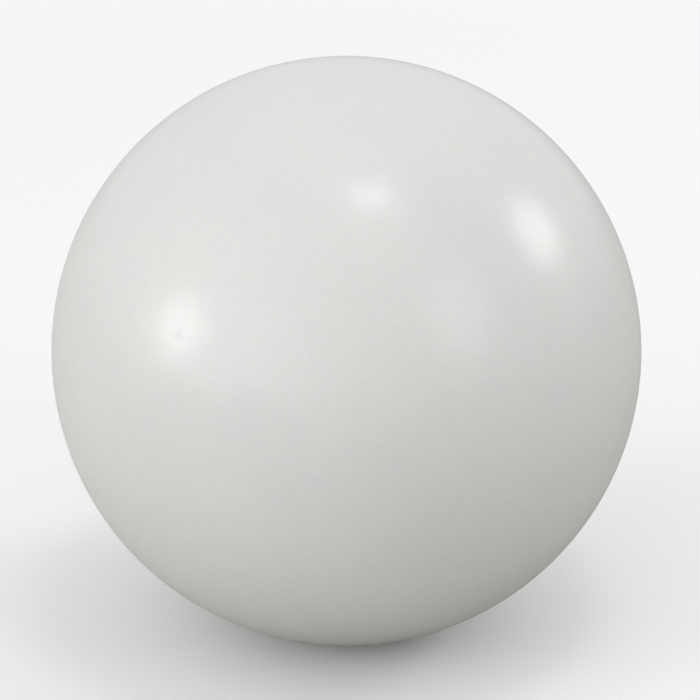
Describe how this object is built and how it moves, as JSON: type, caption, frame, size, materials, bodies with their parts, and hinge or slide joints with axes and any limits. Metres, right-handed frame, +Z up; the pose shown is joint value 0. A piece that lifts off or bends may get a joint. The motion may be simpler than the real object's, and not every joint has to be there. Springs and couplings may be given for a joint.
{
  "type": "cue ball",
  "caption": "Plain off-white pool cue ball: a smooth round ball with a white cast outer layer over a filled resin core.",
  "frame": {"origin": "centre of the ball", "axes": "+Z up; the locating plug is at the bottom, towards -Z; the ball is round about every axis through its centre"},
  "size_m": [0.0572, 0.0572, 0.0572],
  "materials": {
    "white_resin": "satin",
    "filled_resin": "matte"
  },
  "bodies": {
    "root": {"outer_shell": "white_resin", "core": "filled_resin", "locating_plug": "white_resin"}
  },
  "joints": []
}
